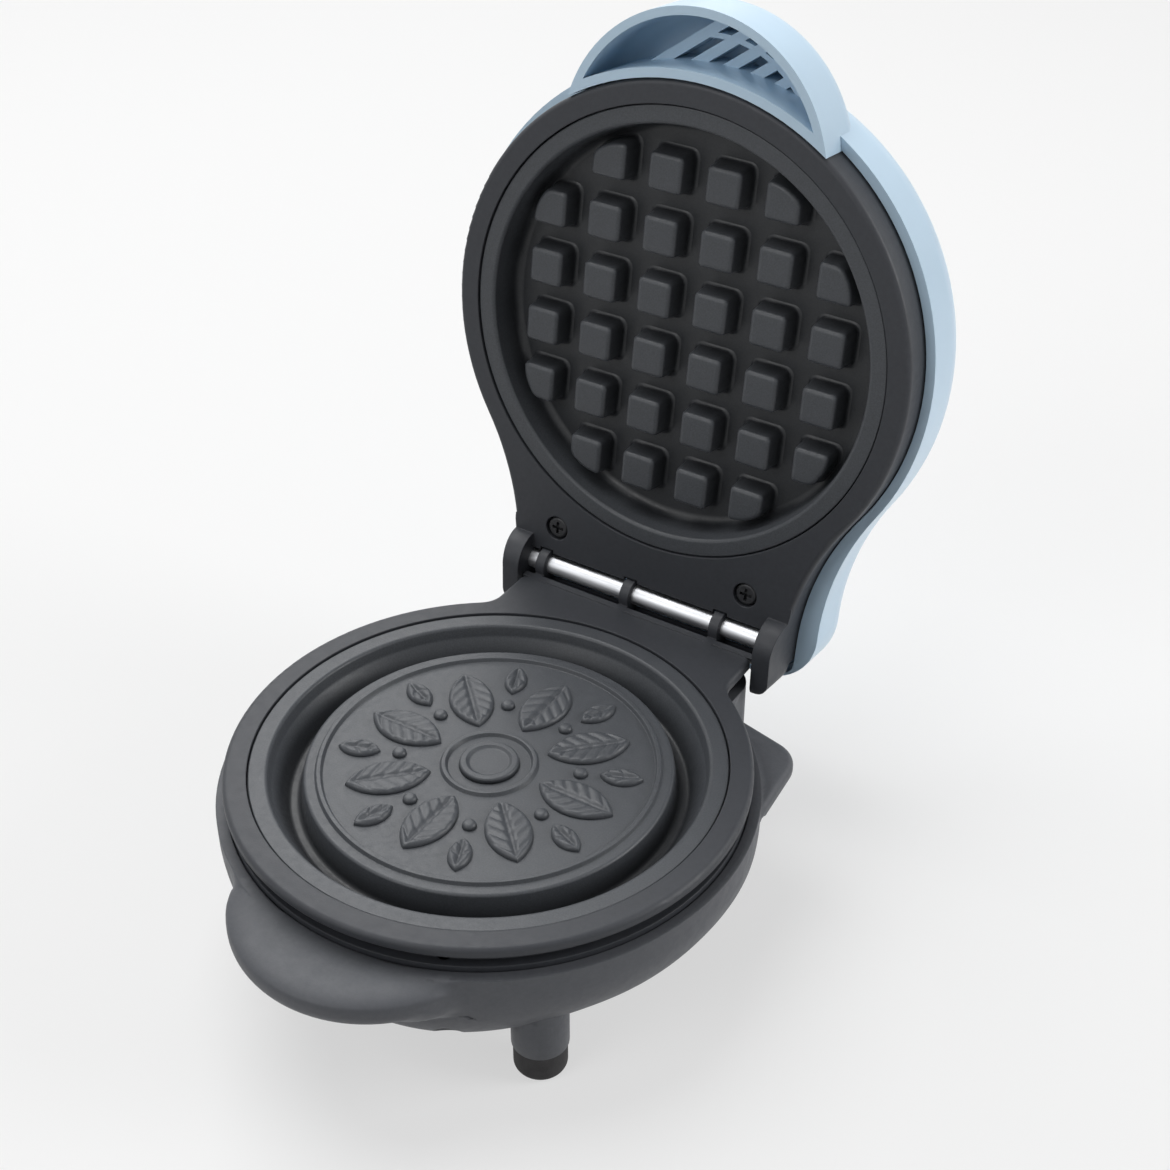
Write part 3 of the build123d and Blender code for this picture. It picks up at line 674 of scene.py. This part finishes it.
def shaded_object(name, mesh, finish, sharp=None):
    """Make an object of a mesh, smooth but for the edges past a sharp angle where one is given."""
    data = bpy.data.meshes.new(name)
    mesh.to_mesh(data)
    mesh.free()
    data.shade_smooth()
    if sharp:
        data.set_sharp_from_angle(angle=sharp)
    data.materials.append(finish)
    made = bpy.data.objects.new(name, data)
    bpy.context.scene.collection.objects.link(made)
    even = made.modifiers.new("even_normals", "WEIGHTED_NORMAL")
    if sharp:
        even.keep_sharp = True
    else:
        even.weight = 100
    return made


def finish_plate(name, mesh, place, finish, body, node):
    """Make an object of a plate's drawing, set it in its body and let it stand for its CAD node."""
    # The depth below the plate's face, which the coat's painted shade follows
    depth = mesh.verts.layers.float.new(DEPTH)
    for vertex in mesh.verts:
        vertex[depth] = -vertex.co.z
    bmesh.ops.transform(mesh, matrix=place @ Matrix.Scale(MM, 4), verts=mesh.verts)
    bmesh.ops.recalc_face_normals(mesh, faces=mesh.faces)
    plate = shaded_object(name, mesh, finish)
    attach(plate, body)
    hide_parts(node)


def make_lower_plate(finish):
    """The base's plate, with its ornamented disc in a narrow moat."""
    mesh = bmesh.new()
    disc = -DISC_TOP
    inside = [(0, disc)]
    for ring in RING_PLACES:
        inside += [
            (ring - RING_HALF, disc, RING_ROUND),
            (ring - RING_HALF / 2, disc + RING_RISE, RING_ROUND),
            (ring + RING_HALF / 2, disc + RING_RISE, RING_ROUND),
            (ring + RING_HALF, disc, RING_ROUND),
        ]
    inside += [
        (DISC_RADIUS, disc, DISC_ROUND),
        (DISC_RADIUS + WELL_DRAFT, -WELL_DEPTH, MOAT_ROUND),
        (MOAT_FOOT, -WELL_DEPTH, MOAT_ROUND),
        (MOAT_SHOULDER, -MOAT_SLOPE, 3.0),
    ]
    backside = [(BED_INNER, -POCKET_TOP, 0.6), (0, -POCKET_TOP)]
    lathe(mesh, plate_outline(inside, backside), PLATE_SEGMENTS)
    add_studs(mesh, -POCKET_TOP)
    add_relief(mesh)
    place = Matrix.Translation((0, 0, PARTING * MM))
    finish_plate("relief_plate", mesh, place, finish, "base", "lower_plate")


def make_upper_plate(finish):
    """The lid's plate, with its grid of posts."""
    mesh = bmesh.new()
    inside = [(0, -WELL_DEPTH), (WELL_RADIUS - WELL_DRAFT, -WELL_DEPTH, WELL_ROUND)]
    backside = [(BED_INNER, -PLATE_BACK), (0, -PLATE_BACK)]
    lathe(mesh, plate_outline(inside, backside), PLATE_SEGMENTS)
    add_studs(mesh, -PLATE_BACK)
    for centre in post_centres():
        add_post(mesh, centre)
    hinge = Matrix.Translation((0, HINGE_Y * MM, HINGE_Z * MM))
    turned = Matrix.Rotation(-math.radians(OPEN_ANGLE), 4, "X")
    face_down = Matrix.Translation((0, 0, LID_FACE * MM)) @ Matrix.Diagonal((1, 1, -1, 1))
    place = hinge @ turned @ hinge.inverted() @ face_down
    finish_plate("waffle_plate", mesh, place, finish, "lid", "upper_plate")


def welded_copy(node):
    """A copy of a node's mesh, with its faces joined where they meet."""
    mesh = bmesh.new()
    mesh.from_mesh(node.data)
    bmesh.ops.remove_doubles(mesh, verts=mesh.verts, dist=WELD * MM)
    return mesh


def dressed_copy(name, mesh, finish, body, node):
    """Make an object of a node's changed copy, set it in its body and let it stand for that node."""
    piece = shaded_object(name, mesh, finish, SHARP)
    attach(piece, body)
    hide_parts(node)


def divide_edges(mesh, longest, zone):
    """Halve the edges longer than a length until none is left in a zone, which is told a point."""
    for _ in range(HALVINGS):
        edges = []
        for edge in mesh.edges:
            if edge.calc_length() > longest * MM and any(zone(v.co / MM) for v in edge.verts):
                edges.append(edge)
        if not edges:
            break
        bmesh.ops.subdivide_edges(mesh, edges=edges, cuts=1)
        bmesh.ops.triangulate(mesh, faces=mesh.faces)


def solid_reach(turn):
    """From the slim section's centre to the CAD bowl's outside, at a turn below level."""
    shift = SLIM_ROUND - BOWL_ROUND
    if turn < math.atan2(shift, SLIM_ROUND):
        return SLIM_ROUND / math.cos(turn)
    if turn > math.atan2(SLIM_ROUND, shift):
        return SLIM_ROUND / math.sin(turn)
    along = shift * (math.cos(turn) + math.sin(turn))
    return along + math.sqrt(along ** 2 - 2 * shift ** 2 + BOWL_ROUND ** 2)


def slim_reach(turn, hold):
    """The same to the slimmer bowl's outside, as far as it is held to."""
    solid = solid_reach(turn)
    slim = SLIM_ROUND * (1 - TAPER * math.sin(2 * turn) ** 2)
    return solid + (slim - solid) * hold


def outline_height(place, hold):
    """The height of the bowl's outside at a distance from its axis."""

    def beyond(turn):
        return SECTION_RADIUS + slim_reach(turn, hold) * math.cos(turn) > place

    turn = last_held(beyond, 0.0, math.pi / 2, SECTION_HALVINGS)
    return SECTION_HEIGHT - slim_reach(turn, hold) * math.sin(turn)


def bowl_hold(p, reach):
    """How fully a point takes the slimmer section: less in front, and not at the heel or handle."""
    side = math.degrees(math.atan2(p.y, abs(p.x)))
    hold = FRONT_HOLD + (1 - FRONT_HOLD) * smooth_step(*FRONT_BAND, side)
    hold *= 1 - smooth_step(*REAR_BAND, side)
    if p.y < 0:
        hold *= 1 - smooth_step(BOWL_RADIUS, BOWL_RADIUS + HANDLE_HOLD, reach)
    return hold


def axis_distance(places, p):
    """How far a point lies from the nearest of some upright axes and their mirror images."""
    return min(math.hypot(abs(p.x) - x, p.y - y) for x, y in places)


def screw_height(z):
    """Heights along a base screw, with its tip left where it is and its head drawn in."""
    return SCREW_TIP - (SCREW_TIP - z) * SCREW_SHARE if z < SCREW_TIP else z


def shrink_section(p, reach, hold, screw):
    """Move a point of the bowl's wall to the slimmer section. By a screw the outside only slides up."""
    turn = math.atan2(SECTION_HEIGHT - p.z, reach - SECTION_RADIUS)
    share = math.hypot(SECTION_HEIGHT - p.z, reach - SECTION_RADIUS) / solid_reach(turn)
    outside = abs(share - 1) < NEAR_SECTION
    if outside:
        share = 1
    span = share * slim_reach(turn, hold)
    moved = SECTION_RADIUS + span * math.cos(turn)
    p.z = SECTION_HEIGHT - span * math.sin(turn)
    free = smooth_step(SCREW_ZONE, SCREW_ZONE + SCREW_FREE, screw)
    if outside and free < 1 and reach < BOWL_RADIUS - NEAR_WALL:
        moved = reach + free * (moved - reach)
        p.z = outline_height(moved, hold)
    p.x *= moved / reach
    p.y *= moved / reach


def bowl_place(p):
    """Where a point of the CAD bowl goes in the slimmer one."""
    reach = math.hypot(p.x, p.y)
    hold = bowl_hold(p, reach)
    if p.y < 0 and reach > BOWL_RADIUS + NEAR_WALL:
        share = 1 - HANDLE_LIFT * smooth_step(BOWL_RADIUS, BOWL_RADIUS + HANDLE_ROOT, reach)
        p.z = RIM_HEIGHT - (RIM_HEIGHT - p.z) * share
    foot = axis_distance(FRONT_FEET, p)
    screw = axis_distance(BASE_SCREWS, p)
    low = outline_height(reach, 0)
    lift = outline_height(reach, hold) - low
    if p.y > HEEL_ZONE and abs(p.x) < HEEL_SIDE + NEAR_SIDE:
        on_side = abs(p.x) > HEEL_SIDE - NEAR_SIDE and p.z > BOWL_FLOOR + 2 * NEAR_SIDE
        if on_side and abs(p.z - low) < NEAR_SIDE:
            p.z += lift
    elif screw < SCREW_ZONE and p.z > low + NEAR_MOUTH:
        p.z = screw_height(p.z)
    elif foot < FOOT_ZONE or screw < SCREW_ZONE:
        if p.z > BOWL_FLOOR + NEAR_SIDE:
            p.z += lift
    elif reach > SECTION_RADIUS + NEAR_MIDDLE and p.z < SECTION_HEIGHT:
        shrink_section(p, reach, hold, screw)
    p.z -= RIM_DROP * min(1, max(0, (p.z - RIM_HEIGHT + RIM_BAND) / RIM_BAND))
    return p


def handle_joint(mesh):
    """The vertices of the inner corner where the front handle leaves the bowl."""
    joint = set()
    for edge in mesh.edges:
        middle = (edge.verts[0].co + edge.verts[1].co) / 2 / MM
        on_wall = abs(math.hypot(middle.x, middle.y) - BOWL_RADIUS) < JOINT_BAND
        if on_wall and middle.y < JOINT_REAR and edge.is_manifold and not edge.is_convex:
            if edge.calc_face_angle(0) > JOINT_ANGLE:
                joint.update(edge.verts)
    return joint


def make_base_bowl(node, finish):
    """The base's moulding with a tapering bowl, its rim set lower and a slimmer handle blended in."""

    def fine_zone(p):
        return p.y < FINE_REAR and math.hypot(p.x, p.y) > FINE_RADIUS and p.z < FINE_TOP

    mesh = welded_copy(node)
    divide_edges(mesh, FINE_EDGE, fine_zone)
    near = handle_joint(mesh)
    for vertex in mesh.verts:
        vertex.co = bowl_place(vertex.co / MM) * MM
    for _ in range(JOINT_SPREAD):
        near.update(other for v in list(near) for edge in v.link_edges for other in edge.verts)
    top = (RIM_HEIGHT - RIM_DROP - JOINT_TOP) * MM
    near = [v for v in near if v.co.z < top]
    for _ in range(JOINT_PASSES):
        bmesh.ops.smooth_vert(
            mesh, verts=near, factor=0.5, use_axis_x=True, use_axis_y=True, use_axis_z=True
        )
    dressed_copy("base_bowl", mesh, finish, "base", "base_shell")


def make_base_screws(node, finish):
    """The base's screws, shortened to the seats of the slimmer bowl."""
    mesh = welded_copy(node)
    for vertex in mesh.verts:
        vertex.co.z = screw_height(vertex.co.z / MM) * MM
    dressed_copy("case_screws", mesh, finish, "base", "base_screws")


def make_camera():
    up = CAMERA_BACK.cross(CAMERA_RIGHT).normalized()
    turn = Matrix((CAMERA_RIGHT.normalized(), up, CAMERA_BACK.normalized())).transposed()
    lens = bpy.data.cameras.new("camera")
    lens.lens = CAMERA_LENS
    lens.sensor_width = CAMERA_SENSOR
    lens.clip_start = CAMERA_NEAR
    camera = bpy.data.objects.new("camera", lens)
    camera.matrix_world = Matrix.Translation(CAMERA_PLACE) @ turn.to_4x4()
    bpy.context.scene.collection.objects.link(camera)
    bpy.context.scene.camera = camera


def whiten(tree, lit, level):
    """Mix a shader with plain white light for the rays that see the background."""
    path = tree.nodes.new("ShaderNodeLightPath")
    white = tree.nodes.new("ShaderNodeEmission")
    white.inputs["Strength"].default_value = 1.0
    seen = path.outputs[WHITE_RAYS[0]]
    for ray in WHITE_RAYS[1:]:
        either = tree.nodes.new("ShaderNodeMath")
        either.operation = "MAXIMUM"
        tree.links.new(seen, either.inputs[0])
        tree.links.new(path.outputs[ray], either.inputs[1])
        seen = either.outputs[0]
    share = tree.nodes.new("ShaderNodeMath")
    share.operation = "MULTIPLY"
    share.inputs[1].default_value = level
    tree.links.new(seen, share.inputs[0])
    mix = tree.nodes.new("ShaderNodeMixShader")
    tree.links.new(share.outputs[0], mix.inputs["Fac"])
    tree.links.new(lit, mix.inputs[1])
    tree.links.new(white.outputs[0], mix.inputs[2])
    return mix.outputs[0]


def make_floor():
    """A plain pale floor that keeps the object's shadow."""
    bpy.ops.mesh.primitive_plane_add(size=FLOOR_SIZE, location=(0, 0, 0))
    floor = bpy.context.object
    floor.name = "floor"
    material = bpy.data.materials.new("pale_floor")
    material.use_nodes = True
    tree = material.node_tree
    shader = tree.nodes["Principled BSDF"]
    shader.inputs["Base Color"].default_value = (*FLOOR_COLOUR, 1)
    shader.inputs["Roughness"].default_value = 0.9
    shader.inputs["Specular IOR Level"].default_value = 0.0
    mixed = whiten(tree, shader.outputs[0], FLOOR_SHARE)
    tree.links.new(mixed, tree.nodes["Material Output"].inputs["Surface"])
    floor.data.materials.append(material)


def make_world():
    world = bpy.data.worlds.new("studio")
    bpy.context.scene.world = world
    world.use_nodes = True
    tree = world.node_tree
    background = tree.nodes["Background"]
    background.inputs["Color"].default_value = (1, 1, 1, 1)
    background.inputs["Strength"].default_value = WORLD_LIGHT
    mixed = whiten(tree, background.outputs[0], 1.0)
    tree.links.new(mixed, tree.nodes["World Output"].inputs["Surface"])


def make_lights():
    """Soft round lamps, all turned to the object."""
    for name, place, size, power in LAMPS:
        light = bpy.data.lights.new(name, "AREA")
        light.shape = "DISK"
        light.size = size
        light.energy = power
        lamp = bpy.data.objects.new(name, light)
        aim = Vector(LAMP_TARGET) - Vector(place)
        lamp.rotation_euler = aim.to_track_quat("-Z", "Y").to_euler()
        lamp.location = place
        bpy.context.scene.collection.objects.link(lamp)


def main():
    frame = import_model()
    bpy.context.scene.view_settings.view_transform = "Standard"
    make_camera()
    make_world()
    make_floor()
    make_lights()
    nodes = frame["nodes"]
    finishes = dress_nodes(nodes)
    make_base_bowl(nodes["base_shell"], finishes["base_plastic"])
    make_base_screws(nodes["base_screws"], nodes["base_screws"].material_slots[0].material)
    make_lower_plate(finishes["coated_plate"])
    make_upper_plate(finishes["coated_plate"])


main()
